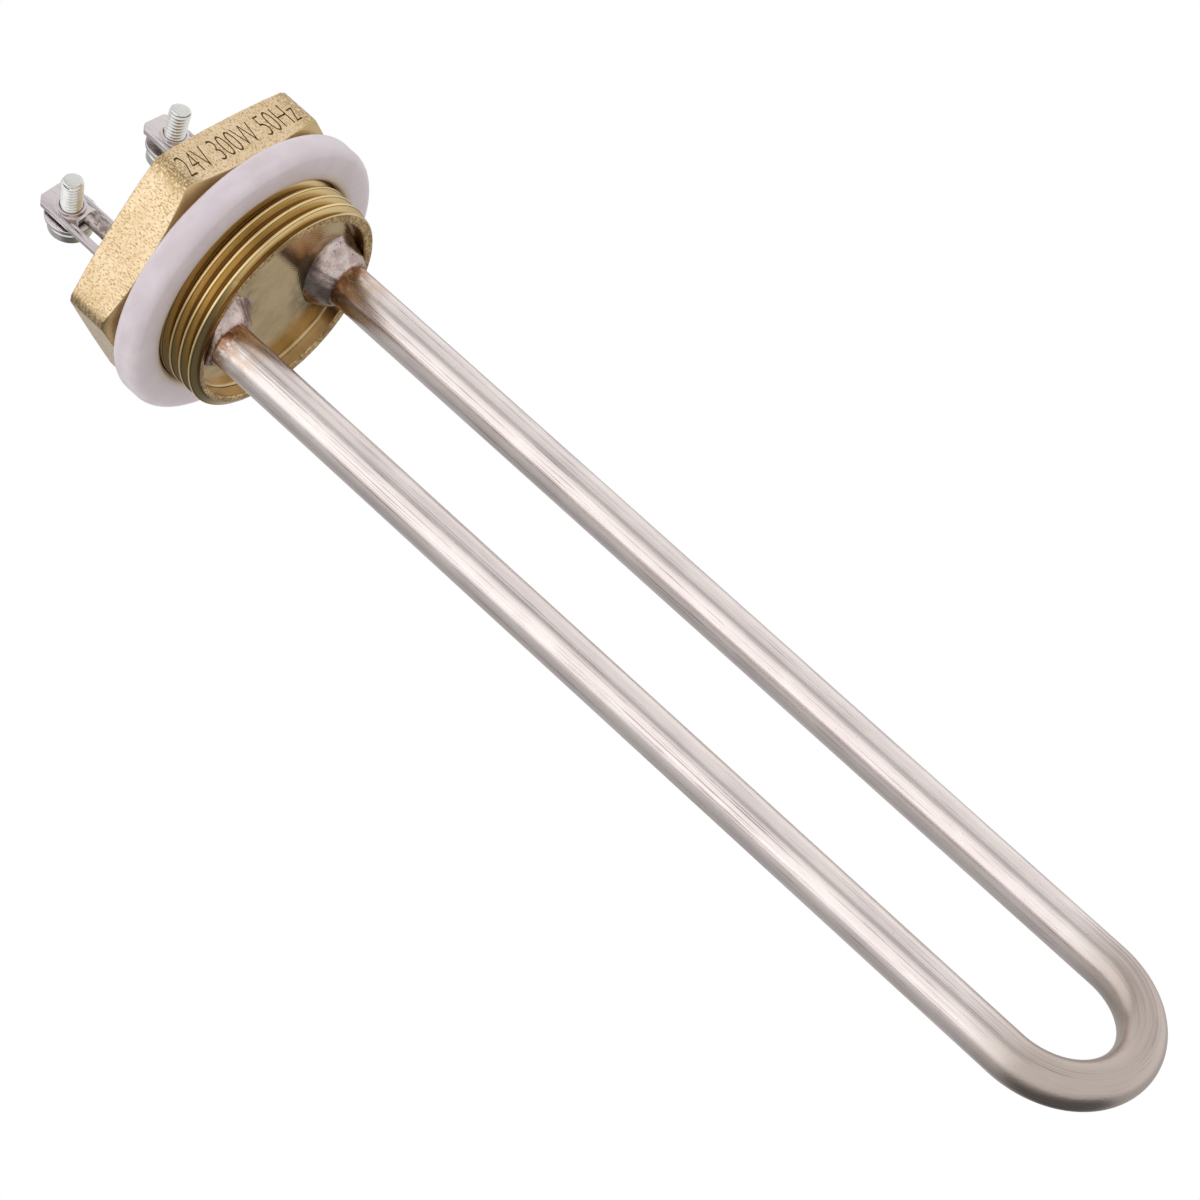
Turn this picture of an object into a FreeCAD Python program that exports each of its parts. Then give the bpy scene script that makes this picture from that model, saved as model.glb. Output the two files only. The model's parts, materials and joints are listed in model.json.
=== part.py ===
import FreeCAD, Part
import math
import os
from FreeCAD import Vector

# Screw plug immersion heater: a brass plug with a parallel pipe thread carries one U-bent
# sheathed element. Millimetres. +Z runs along the plug's axis, from the tank to the terminals.
# The origin is the centre of the plug's sealing face, and the two legs lie in the XZ plane.

# Parallel pipe thread of nominal size 1 1/4, with its free end and its relief at the head
THREAD_MAJOR_R = 20.955
THREAD_PITCH = 2.309
THREAD_DEPTH_PER_PITCH = 0.640327
THREAD_ROOT_PER_PITCH = 1 / 6
THREAD_HALF_ANGLE = 27.5
THREAD_START_RISE = 1.39
RELIEF_LENGTH = 3.2
RELIEF_DEPTH = 0.25
FRONT_CHAMFER = 0.75
PLUG_REACH = 12.9

# Hexagonal head
HEX_SHOULDER = 4.045
HEX_HEIGHT = 10.0
HEX_TURN = 55.0
HEX_CORNER_STANDS_PROUD = 3.0
SEAT_CHAMFER_ANGLE = 30.0
SEAT_CHAMFER_INSET = 1.7
BACK_CHAMFER_ANGLE = 20.0
BACK_CHAMFER_INSET = 0.4
CHAMFER_CROWN = 0.05

# Cup turned into the wet end of the plug
CUP_WALL = 0.976
CUP_DEPTH = 2.9
CUP_FILLET = 0.6

# Sealing gasket
GASKET_CLEARANCE = 0.15
GASKET_WIDTH = 6.6
GASKET_THICKNESS = 5.2
GASKET_OUTER_FILLET = 2.4
GASKET_INNER_FILLET = 0.8

# Sheathed element
SHEATH_R = 4.0
SHEATH_WALL = 0.7
SHEATH_TO_CUP_WALL = 0.1
SHEATH_PROUD = 1.5
BORE_CLEARANCE = 0.05
BEND_CENTRE_DEPTH = 188.0
COIL_R = 1.7
COLD_REACH = 35.0
FILL_CLEARANCE = 0.02

# Braze fillet round each leg, on the cup's floor
BRAZE_REACH = 3.4
BRAZE_CLIMB = 3.2
BRAZE_EDGE = 0.2
BRAZE_HOLLOW = 0.5

# Terminal pins and their insulation
PIN_R = 1.5
PIN_END_CHAMFER = 0.35
SEAL_LENGTH = 3.0
BUSH_SPIGOT_LENGTH = 3.0
BUSH_COLLAR_INSET = 0.1
BUSH_COLLAR_LENGTH = 1.4
BUSH_CLEARANCE = 0.05

# Terminal tabs: flat strips, forked at the pin and plunged for a screw near the free end
TAB_LENGTH = 16.5
TAB_WIDTH = 7.0
TAB_THICKNESS = 1.0
TAB_CORNER_CLIP = 1.2
TAB_STANDOFF = (0.4, 5.0)
TAB_TURN = (-103.0, -92.0)
FORK_WIDTH = 4.2
FORK_WEB = 0.6
FORK_CORNER_R = 1.2
FORK_SIDE_CLEARANCE = 0.03
PIN_SHORT_OF_FORK = 0.7
HOLE_FROM_END = 5.1
COLLAR_WALL = 0.55
COLLAR_HEIGHT = 0.8

# Terminal screws and their washers
SCREW_R = 2.0
SCREW_CLEARANCE = 0.05
SCREW_LENGTH = 10.0
SCREW_TIP_CHAMFER = 0.4
HEAD_R = 4.0
HEAD_HEIGHT = 3.1
HEAD_DOME_R = 6.5
RECESS_WIDTH = 1.1
RECESS_SPAN = 4.4
RECESS_DEPTH = 1.7
WASHER_HOLE_CLEARANCE = 0.15
WASHER_WIDTH = 2.45
WASHER_THICKNESS = 0.8
SPRING_WASHER_WIDTH = 1.35
SPRING_WASHER_THICKNESS = 0.9
SPRING_WASHER_SLIT = 0.8
SPRING_WASHER_SLANT = 25.0
SCREW_PLAY = 0.02
CLAMP_GAP = (0.5, 1.0)

# Sizes that follow from those above
THREAD_MINOR_R = THREAD_MAJOR_R - THREAD_DEPTH_PER_PITCH * THREAD_PITCH
HEX_FLAT_R = THREAD_MAJOR_R + HEX_SHOULDER
CUP_R = THREAD_MINOR_R - CUP_WALL
CUP_FLOOR_Z = CUP_DEPTH - PLUG_REACH
LEG_X = CUP_R - SHEATH_TO_CUP_WALL - SHEATH_R
SHEATH_BORE_R = SHEATH_R - SHEATH_WALL
FILL_R = SHEATH_BORE_R - FILL_CLEARANCE
PIN_HOLE_R = PIN_R + BUSH_CLEARANCE
SHEATH_TOP_Z = HEX_HEIGHT + SHEATH_PROUD
SEAL_TOP_Z = SHEATH_TOP_Z - BUSH_SPIGOT_LENGTH
POWDER_TOP_Z = SEAL_TOP_Z - SEAL_LENGTH
BUSH_TOP_Z = SHEATH_TOP_Z + BUSH_COLLAR_LENGTH
TAB_HOLE_R = SCREW_R + SCREW_CLEARANCE
TAB_HOLE_Y = TAB_LENGTH - HOLE_FROM_END
COLLAR_R = TAB_HOLE_R + COLLAR_WALL
FORK_LENGTH = TAB_HOLE_Y - COLLAR_R - FORK_WEB
WASHER_HOLE_R = SCREW_R + WASHER_HOLE_CLEARANCE
UP = Vector(0, 0, 1)
ORIGIN = Vector(0, 0, 0)
SIDES = (0, 1)


def turned(points):
    """Solid of revolution about Z of a closed outline given as (radius, height) pairs."""
    corners = [Vector(r, 0, z) for r, z in points]
    return Part.Face(Part.makePolygon(corners + corners[:1])).revolve(ORIGIN, UP, 360)


def ring(r_out, r_in, z_low, z_high):
    """Plain round ring or bush about Z."""
    return turned([(r_in, z_low), (r_out, z_low), (r_out, z_high), (r_in, z_high)])


def prism(points, z_low, height):
    """Upright prism on a closed outline given as (x, y) pairs."""
    corners = [Vector(x, y, z_low) for x, y in points]
    return Part.Face(Part.makePolygon(corners + corners[:1])).extrude(UP * height)


def round_edges(solid, z, radius):
    """Round edges of a solid that lie at one height with one radius."""
    found = []
    for edge in solid.Edges:
        if not isinstance(edge.Curve, Part.Circle):
            continue
        if abs(edge.Curve.Radius - radius) < 1e-4 and abs(edge.Curve.Center.z - z) < 1e-4:
            found.append(edge)
    return found


def on_leg(solid, side):
    """Move a solid made about the Z axis onto the first or the second leg."""
    solid.translate(Vector((-LEG_X, LEG_X)[side], 0, 0))
    return solid


def crowned(start, end):
    """Slightly rounded chamfer between two points of an outline that runs anticlockwise."""
    chord = end - start
    outward = Vector(chord.z, 0, -chord.x).normalize()
    return Part.Arc(start, (start + end) * 0.5 + outward * CHAMFER_CROWN, end).toShape()


def hexagonal_head():
    """Hexagon with its corners and both its faces turned down."""
    corner_r = HEX_FLAT_R / math.cos(math.radians(30))
    angles = [math.radians(HEX_TURN + 60 * step) for step in range(6)]
    outline = [(corner_r * math.cos(a), corner_r * math.sin(a)) for a in angles]
    turned_r = HEX_FLAT_R + HEX_CORNER_STANDS_PROUD
    seat_r = HEX_FLAT_R - SEAT_CHAMFER_INSET
    back_r = HEX_FLAT_R - BACK_CHAMFER_INSET
    seat_rise = (turned_r - seat_r) * math.tan(math.radians(SEAT_CHAMFER_ANGLE))
    back_drop = (turned_r - back_r) * math.tan(math.radians(BACK_CHAMFER_ANGLE))
    seat = Vector(seat_r, 0, 0)
    seat_end = Vector(turned_r, 0, seat_rise)
    back_end = Vector(turned_r, 0, HEX_HEIGHT - back_drop)
    back = Vector(back_r, 0, HEX_HEIGHT)
    profile = Part.Wire([
        Part.makeLine(ORIGIN, seat),
        crowned(seat, seat_end),
        Part.makeLine(seat_end, back_end),
        crowned(back_end, back),
        Part.makeLine(back, UP * HEX_HEIGHT),
        Part.makeLine(UP * HEX_HEIGHT, ORIGIN),
    ])
    blank = Part.Face(profile).revolve(ORIGIN, UP, 360)
    return prism(outline, 0, HEX_HEIGHT).common(blank)


def thread_groove():
    """Helical cutter with the thread's flanks, from below the free end into the relief."""
    overcut = 0.25
    root_half = THREAD_ROOT_PER_PITCH * THREAD_PITCH / 2
    mouth_r = THREAD_MAJOR_R + overcut
    flank = (mouth_r - THREAD_MINOR_R) * math.tan(math.radians(THREAD_HALF_ANGLE))
    start_z = THREAD_START_RISE - PLUG_REACH - 2 * THREAD_PITCH
    helix = Part.makeLongHelix(THREAD_PITCH, -RELIEF_LENGTH / 2 - start_z, THREAD_MAJOR_R)
    helix.translate(UP * start_z)
    section = [
        Vector(THREAD_MINOR_R, 0, start_z - root_half),
        Vector(mouth_r, 0, start_z - root_half - flank),
        Vector(mouth_r, 0, start_z + root_half + flank),
        Vector(THREAD_MINOR_R, 0, start_z + root_half),
    ]
    sweep = Part.BRepOffsetAPI.MakePipeShell(Part.Wire(helix.Edges))
    sweep.setFrenetMode(True)
    sweep.add(Part.makePolygon(section + section[:1]), False, False)
    sweep.build()
    sweep.makeSolid()
    return sweep.shape()


def threaded_shank():
    """Shank below the head: relief, chamfered free end and a true right-hand thread."""
    relief_r = THREAD_MINOR_R - RELIEF_DEPTH
    blank = turned([
        (0, 0),
        (relief_r, 0),
        (relief_r, -RELIEF_LENGTH),
        (THREAD_MAJOR_R, -RELIEF_LENGTH),
        (THREAD_MAJOR_R, FRONT_CHAMFER - PLUG_REACH),
        (THREAD_MAJOR_R - FRONT_CHAMFER, -PLUG_REACH),
        (0, -PLUG_REACH),
    ])
    return blank.cut(thread_groove())


def cup_space(depth):
    """Inside of the cup, from its floor towards the wet end."""
    space = Part.makeCylinder(CUP_R, depth, Vector(0, 0, CUP_FLOOR_Z - depth))
    return space.makeFillet(CUP_FILLET, round_edges(space, CUP_FLOOR_Z, CUP_R))


def brass_plug():
    """One turned plug: head, shank, cup and the two bores for the legs."""
    plug = hexagonal_head().fuse(threaded_shank()).removeSplitter()
    plug = plug.cut(cup_space(CUP_DEPTH + 1))
    bore_r = SHEATH_R + BORE_CLEARANCE
    for side in SIDES:
        bore = Part.makeCylinder(bore_r, HEX_HEIGHT + PLUG_REACH, Vector(0, 0, -PLUG_REACH))
        plug = plug.cut(on_leg(bore, side))
    return plug


def sealing_gasket():
    """Soft ring with a domed rim, loose on the thread and against the head."""
    inner_r = THREAD_MAJOR_R + GASKET_CLEARANCE
    outer_r = inner_r + GASKET_WIDTH
    body = ring(outer_r, inner_r, -GASKET_THICKNESS, 0)
    outer = round_edges(body, -GASKET_THICKNESS, outer_r) + round_edges(body, 0, outer_r)
    body = body.makeFillet(min(GASKET_OUTER_FILLET, 0.48 * GASKET_THICKNESS), outer)
    inner = round_edges(body, -GASKET_THICKNESS, inner_r) + round_edges(body, 0, inner_r)
    return body.makeFillet(GASKET_INNER_FILLET, inner)


def hairpin(r_out, r_in, top_z):
    """U-bent rod or tube of round section with two straight legs up to one height."""
    centre = Vector(-LEG_X, 0, -BEND_CENTRE_DEPTH)
    section = Part.Face(Part.Wire(Part.makeCircle(r_out, centre, UP)))
    if r_in > 0:
        section = section.cut(Part.Face(Part.Wire(Part.makeCircle(r_in, centre, UP))))
    bend = section.revolve(Vector(0, 0, -BEND_CENTRE_DEPTH), Vector(0, -1, 0), 180)
    leg = section.extrude(UP * (top_z + BEND_CENTRE_DEPTH))
    other_leg = leg.copy()
    other_leg.translate(Vector(2 * LEG_X, 0, 0))
    return bend.fuse([leg, other_leg]).removeSplitter()


def sheath_tube():
    """Steel tube of the element, a little proud of the head."""
    return hairpin(SHEATH_R, SHEATH_BORE_R, SHEATH_TOP_Z)


def heating_coil():
    """Envelope of the wound resistance wire, round the whole hot length."""
    return hairpin(COIL_R, 0, -COLD_REACH)


def magnesia_fill():
    """Compacted powder round the coil and, above it, round the pins."""
    powder = hairpin(FILL_R, COIL_R + FILL_CLEARANCE, -COLD_REACH)
    for side in SIDES:
        sleeve = ring(FILL_R, PIN_R + FILL_CLEARANCE, -COLD_REACH, POWDER_TOP_Z)
        powder = powder.fuse(on_leg(sleeve, side))
    return powder.removeSplitter()


def tab_foot_z(side):
    """Height of a tab's forked end."""
    return BUSH_TOP_Z + TAB_STANDOFF[side]


def cold_pin(side):
    """Pin from the coil's end to the root of its tab's fork, with a chamfered end."""
    top = tab_foot_z(side) + FORK_LENGTH - PIN_SHORT_OF_FORK
    pin = turned([
        (0, -COLD_REACH),
        (PIN_R, -COLD_REACH),
        (PIN_R, top - PIN_END_CHAMFER),
        (PIN_R - PIN_END_CHAMFER, top),
        (0, top),
    ])
    return on_leg(pin, side)


def end_seal(side):
    """Moisture seal cast into the end of the sheath, on top of the powder."""
    return on_leg(ring(FILL_R, PIN_R + FILL_CLEARANCE, POWDER_TOP_Z, SEAL_TOP_Z), side)


def end_bush(side):
    """Ceramic bush: a spigot in the sheath and a collar on its end."""
    spigot_r = SHEATH_BORE_R - BUSH_CLEARANCE
    collar_r = SHEATH_R - BUSH_COLLAR_INSET
    bush = turned([
        (PIN_HOLE_R, SEAL_TOP_Z),
        (spigot_r, SEAL_TOP_Z),
        (spigot_r, SHEATH_TOP_Z),
        (collar_r, SHEATH_TOP_Z),
        (collar_r, BUSH_TOP_Z),
        (PIN_HOLE_R, BUSH_TOP_Z),
    ])
    return on_leg(bush, side)


def braze_fillet(side):
    """Hollow-flanked mound of braze between the leg, the cup's floor and its wall."""
    foot_r = SHEATH_R + BRAZE_REACH
    tip_z = CUP_FLOOR_Z - BRAZE_CLIMB
    foot = Vector(foot_r, 0, CUP_FLOOR_Z - BRAZE_EDGE)
    tip = Vector(SHEATH_R + BRAZE_EDGE, 0, tip_z)
    chord = tip - foot
    inward = Vector(chord.z, 0, -chord.x).normalize()
    middle = (foot + tip) * 0.5 + inward * BRAZE_HOLLOW
    flank = Part.Arc(foot, middle, tip).toShape()
    rest = Part.makePolygon([
        tip,
        Vector(SHEATH_R, 0, tip_z),
        Vector(SHEATH_R, 0, CUP_FLOOR_Z),
        Vector(foot_r, 0, CUP_FLOOR_Z),
        foot,
    ])
    section = Part.Face(Part.Wire([flank] + rest.Edges))
    mound = on_leg(section.revolve(ORIGIN, UP, 360), side)
    return mound.common(cup_space(BRAZE_CLIMB + 1))


def on_terminal(solid, side):
    """Carry a solid from its tab's own frame to its place on the pin.

    In the tab's frame +Z is the way that the screw's tip points, with the pin's axis at
    height 0, X runs across the strip, and Y runs along it from its forked end.
    """
    turn = math.radians(TAB_TURN[side])
    facing = Vector(math.cos(turn), math.sin(turn), 0)
    across = UP.cross(facing)
    solid.transformShape(FreeCAD.Matrix(
        across.x, UP.x, facing.x, 0,
        across.y, UP.y, facing.y, 0,
        across.z, UP.z, facing.z, tab_foot_z(side),
        0, 0, 0, 1,
    ))
    return on_leg(solid, side)


def tab_shift():
    """Sideways place of a tab, so that one tine of its fork lies against the pin."""
    top_z = min(0, TAB_THICKNESS - PIN_R)
    pin_half_width = math.sqrt(PIN_R ** 2 - top_z ** 2)
    return pin_half_width + FORK_SIDE_CLEARANCE - FORK_WIDTH / 2


def terminal_tab(side):
    """Strip with a forked foot that straddles the pin and a plunged hole for the screw."""
    half = TAB_WIDTH / 2
    low_z = -PIN_R
    strip = prism([
        (-half, 0),
        (half, 0),
        (half, TAB_LENGTH - TAB_CORNER_CLIP),
        (half - TAB_CORNER_CLIP, TAB_LENGTH),
        (TAB_CORNER_CLIP - half, TAB_LENGTH),
        (-half, TAB_LENGTH - TAB_CORNER_CLIP),
    ], low_z, TAB_THICKNESS)
    hole_place = Vector(0, TAB_HOLE_Y, low_z)
    plunge = TAB_THICKNESS + COLLAR_HEIGHT
    strip = strip.fuse(Part.makeCylinder(COLLAR_R, plunge, hole_place)).removeSplitter()
    hole = Part.makeCylinder(TAB_HOLE_R, plunge, hole_place)
    fork = Part.makeBox(FORK_WIDTH, FORK_LENGTH, TAB_THICKNESS, Vector(-FORK_WIDTH / 2, 0, low_z))
    corners = [e for e in fork.Edges if min(v.Y for v in e.Vertexes) > FORK_LENGTH / 2
               and abs(e.Vertexes[0].Z - e.Vertexes[1].Z) > TAB_THICKNESS / 2]
    tab = strip.cut(hole).cut(fork.makeFillet(FORK_CORNER_R, corners))
    tab.translate(Vector(tab_shift(), 0, 0))
    return on_terminal(tab, side)


def on_screw(solid, side):
    """Carry a solid made about the screw's axis, with the tab's underside at height 0."""
    solid.translate(Vector(tab_shift(), TAB_HOLE_Y, -PIN_R))
    return on_terminal(solid, side)


def clamp_washer(side):
    """Plain washer that presses the wire against the tab."""
    top = -CLAMP_GAP[side]
    body = ring(WASHER_HOLE_R + WASHER_WIDTH, WASHER_HOLE_R, top - WASHER_THICKNESS, top)
    return on_screw(body, side)


def spring_washer(side):
    """Split lock washer behind the plain one."""
    top = -CLAMP_GAP[side] - WASHER_THICKNESS
    low = top - SPRING_WASHER_THICKNESS
    outer_r = WASHER_HOLE_R + SPRING_WASHER_WIDTH
    slit_height = 4 * SPRING_WASHER_THICKNESS
    slit = Part.makeBox(
        outer_r + 1, SPRING_WASHER_SLIT, slit_height,
        Vector(0, -SPRING_WASHER_SLIT / 2, -slit_height / 2),
    )
    slit.rotate(ORIGIN, Vector(1, 0, 0), SPRING_WASHER_SLANT)
    slit.translate(UP * ((low + top) / 2))
    return on_screw(ring(outer_r, WASHER_HOLE_R, low, top).cut(slit), side)


def terminal_screw(side):
    """Pan head screw with a cross recess, its tip pointing through the tab."""
    stack = WASHER_THICKNESS + SPRING_WASHER_THICKNESS
    seat = -CLAMP_GAP[side] - stack - SCREW_PLAY
    tip = seat + SCREW_LENGTH
    top_of_head = seat - HEAD_HEIGHT
    shank = turned([
        (0, seat),
        (SCREW_R, seat),
        (SCREW_R, tip - SCREW_TIP_CHAMFER),
        (SCREW_R - SCREW_TIP_CHAMFER, tip),
        (0, tip),
    ])
    head = Part.makeCylinder(HEAD_R, HEAD_HEIGHT, Vector(0, 0, top_of_head))
    head = head.common(Part.makeSphere(HEAD_DOME_R, Vector(0, 0, top_of_head + HEAD_DOME_R)))
    for turn in (0, 90):
        wing = Part.makeBox(
            RECESS_SPAN, RECESS_WIDTH, RECESS_DEPTH,
            Vector(-RECESS_SPAN / 2, -RECESS_WIDTH / 2, top_of_head),
        )
        wing.rotate(ORIGIN, UP, turn)
        head = head.cut(wing)
    return on_screw(head.fuse(shank).removeSplitter(), side)


def all_nodes():
    """Every sub-part of the heater by its name."""
    nodes = {
        "brass_plug": brass_plug(),
        "sealing_gasket": sealing_gasket(),
        "sheath_tube": sheath_tube(),
        "magnesia_fill": magnesia_fill(),
        "heating_coil": heating_coil(),
    }
    makers = {
        "cold_pin": cold_pin,
        "end_seal": end_seal,
        "end_bush": end_bush,
        "braze_fillet": braze_fillet,
        "terminal_tab": terminal_tab,
        "clamp_washer": clamp_washer,
        "spring_washer": spring_washer,
        "terminal_screw": terminal_screw,
    }
    for name, maker in makers.items():
        for side in SIDES:
            nodes[f"{name}_{side + 1}"] = maker(side)
    return nodes


os.makedirs("parts", exist_ok=True)
for node_name, shape in all_nodes().items():
    shape.exportStep(f"parts/{node_name}.step")
    print(node_name, len(shape.Solids), shape.isValid(), round(shape.Volume, 2))
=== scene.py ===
"""Looks of a screw plug immersion heater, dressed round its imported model.

Lengths are millimetres in the part's own frame, until a mesh is made of them. +Z runs along the
plug's axis from the wet end to the terminals, and the two legs lie in the XZ plane. A shape is a
grid of points worked out as whole arrays: a profile of radii and heights carried round an axis,
or a circle carried along the element's centre line.
"""
import json
import logging
import math
from dataclasses import dataclass
from enum import IntEnum

import bmesh
import bpy
import numpy as np
from mathutils import Matrix, Vector

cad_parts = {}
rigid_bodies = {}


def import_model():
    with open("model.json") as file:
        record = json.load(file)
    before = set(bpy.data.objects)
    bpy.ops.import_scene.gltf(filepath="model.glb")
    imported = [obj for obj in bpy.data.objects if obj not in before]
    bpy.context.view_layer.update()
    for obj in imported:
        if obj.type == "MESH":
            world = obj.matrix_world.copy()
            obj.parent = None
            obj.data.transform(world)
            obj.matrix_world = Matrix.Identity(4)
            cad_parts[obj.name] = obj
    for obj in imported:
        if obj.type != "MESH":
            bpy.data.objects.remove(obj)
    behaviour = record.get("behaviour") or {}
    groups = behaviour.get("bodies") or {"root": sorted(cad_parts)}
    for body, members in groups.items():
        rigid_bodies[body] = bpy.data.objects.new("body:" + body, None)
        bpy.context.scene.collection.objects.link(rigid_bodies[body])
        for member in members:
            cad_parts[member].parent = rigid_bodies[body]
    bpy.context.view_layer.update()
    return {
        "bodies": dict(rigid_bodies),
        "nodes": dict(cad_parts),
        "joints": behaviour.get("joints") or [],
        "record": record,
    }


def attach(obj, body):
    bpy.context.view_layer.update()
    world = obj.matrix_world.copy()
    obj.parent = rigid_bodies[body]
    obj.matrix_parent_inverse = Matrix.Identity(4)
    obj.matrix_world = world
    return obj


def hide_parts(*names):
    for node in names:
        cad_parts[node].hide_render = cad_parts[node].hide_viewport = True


LOG = logging.getLogger("heater")
MM = 0.001
TAU = 2 * math.pi
SIDES = (1, 2)
LEG_X = 14.4005
SHEATH_R = 4.0
CUP_R = 18.5005
CUP_FLOOR = -10.0
ROOT = "root"


def leg_x(side: int) -> float:
    """Give a leg's place along X, in mm."""
    return (-LEG_X, LEG_X)[side - 1]


def linear(code: str) -> tuple[float, float, float, float]:
    """Turn an sRGB hex colour into linear values.

    Args:
        code: Six hex digits.

    Returns:
        Red, green, blue and alpha.
    """
    channels = [int(code[i:i + 2], 16) / 255 for i in (0, 2, 4)]
    toned = [c / 12.92 if c <= 0.04045 else ((c + 0.055) / 1.055) ** 2.4 for c in channels]
    return (*toned, 1.0)


def add_node(tree: bpy.types.NodeTree, kind: str, inputs: dict | None = None,
             stops: list | None = None, **settings: object) -> bpy.types.Node:
    """Add a node with its settings, its input values and its links.

    Args:
        tree: Tree that gets the node.
        kind: Type name of the node.
        inputs: Value or socket for each input, by name or number.
        stops: Places and colours of a ramp, each colour a hex code or a linear grey.
        settings: Properties of the node.

    Returns:
        The new node.
    """
    node = tree.nodes.new(kind)
    for name, value in settings.items():
        setattr(node, name, value)
    for name, value in (inputs or {}).items():
        if isinstance(value, bpy.types.NodeSocket):
            tree.links.new(value, node.inputs[name])
        else:
            node.inputs[name].default_value = value
    if stops:
        elements = node.color_ramp.elements
        while len(elements) > 1:
            elements.remove(elements[-1])
        elements[0].position = stops[0][0]
        for place, _ in stops[1:]:
            elements.new(place)
        for element, (_, colour) in zip(elements, stops):
            coded = isinstance(colour, str)
            element.color = linear(colour) if coded else (colour, colour, colour, 1)
    return node


def millimetres(tree: bpy.types.NodeTree, grain: tuple,
                source: str = "Object") -> bpy.types.NodeSocket:
    """Give coordinates divided by a grain's size, so that a pattern of scale 1 has that size.

    Args:
        tree: Tree of the material.
        grain: Size of the grain along each axis, in mm.
        source: Coordinates to start from: Object, in metres, or UV, in mm.

    Returns:
        Socket of the scaled coordinates.
    """
    unit = 1.0 if source == "UV" else 1 / MM
    coords = add_node(tree, "ShaderNodeTexCoord")
    scaled = add_node(tree, "ShaderNodeMapping", {
        "Vector": coords.outputs[source], "Scale": [unit / size for size in grain],
    })
    return scaled.outputs["Vector"]


def blotches(tree: bpy.types.NodeTree, grain: tuple, edges: tuple, detail: float = 3.0,
             source: str = "Object") -> bpy.types.NodeSocket:
    """Give a mask of irregular blots: a noise cut softly between two of its levels.

    Args:
        tree: Tree of the material.
        grain: Size of a blot along each axis, in mm.
        edges: Levels of the noise that become 0 and 1.
        detail: Number of finer octaves.
        source: Coordinates, as in millimetres().

    Returns:
        Socket of the mask.
    """
    noise = add_node(tree, "ShaderNodeTexNoise", {
        "Vector": millimetres(tree, grain, source),
        "Scale": 1.0, "Detail": detail, "Roughness": 0.6,
    })
    mask = add_node(tree, "ShaderNodeMapRange", {
        0: noise.outputs[0], 1: edges[0], 2: edges[1],
    }, interpolation_type="SMOOTHSTEP")
    return mask.outputs[0]


def level(tree: bpy.types.NodeTree, value: bpy.types.NodeSocket, span: tuple,
          result: tuple = (0.0, 1.0)) -> bpy.types.NodeSocket:
    """Carry a value from one span to another in a straight line, held at both ends.

    Args:
        tree: Tree of the material.
        value: Socket of the value.
        span: Values at which the result begins and ends.
        result: What the value becomes there.

    Returns:
        Socket of the new value.
    """
    ranged = add_node(tree, "ShaderNodeMapRange", {
        0: value, 1: span[0], 2: span[1], 3: result[0], 4: result[1],
    })
    return ranged.outputs[0]


def product(tree: bpy.types.NodeTree, first: object, second: object) -> bpy.types.NodeSocket:
    """Multiply two masks."""
    return add_node(tree, "ShaderNodeMath", {0: first, 1: second}, operation="MULTIPLY").outputs[0]


def blend(tree: bpy.types.NodeTree, mask: bpy.types.NodeSocket, first: object,
          second: object) -> bpy.types.NodeSocket:
    """Go from a first colour to a second as a mask goes from 0 to 1.

    Args:
        tree: Tree of the material.
        mask: Socket of the mask.
        first: Hex code or socket.
        second: Hex code or socket.

    Returns:
        Socket of the colour.
    """
    pair = [linear(c) if isinstance(c, str) else c for c in (first, second)]
    mixed = add_node(tree, "ShaderNodeMix", {0: mask, 6: pair[0], 7: pair[1]}, data_type="RGBA")
    return mixed.outputs[2]


def relief(tree: bpy.types.NodeTree, shader: bpy.types.Node, layers: list) -> None:
    """Raise the surface by one or more masks.

    Args:
        tree: Tree of the material.
        shader: Shader whose normal is bent.
        layers: Pairs of a mask and its height in mm.
    """
    normal = None
    for mask, height in layers:
        inputs = {"Height": mask, "Distance": height * MM, "Strength": 1.0}
        if normal:
            inputs["Normal"] = normal
        normal = add_node(tree, "ShaderNodeBump", inputs).outputs["Normal"]
    tree.links.new(normal, shader.inputs["Normal"])


def axis_distance(tree: bpy.types.NodeTree, offset: float) -> bpy.types.NodeSocket:
    """Give the distance in mm from the plug's axis, or from the nearer of two legs.

    Formula: root of (|x| - offset) squared plus y squared.

    Args:
        tree: Tree of the material.
        offset: 0 for the plug's axis, or the legs' distance from it.

    Returns:
        Socket of the distance.
    """
    parts = add_node(tree, "ShaderNodeSeparateXYZ", {0: millimetres(tree, (1, 1, 1))}).outputs
    side = add_node(tree, "ShaderNodeMath", {0: parts[0]}, operation="ABSOLUTE").outputs[0]
    side = add_node(tree, "ShaderNodeMath", {0: side, 1: offset}, operation="SUBTRACT").outputs[0]
    flat = add_node(tree, "ShaderNodeCombineXYZ", {0: side, 1: parts[1]}).outputs[0]
    return add_node(tree, "ShaderNodeVectorMath", {0: flat}, operation="LENGTH").outputs["Value"]


def height_above(tree: bpy.types.NodeTree) -> bpy.types.NodeSocket:
    """Give the height along the plug's axis, in mm."""
    return add_node(tree, "ShaderNodeSeparateXYZ", {0: millimetres(tree, (1, 1, 1))}).outputs[2]


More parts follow.
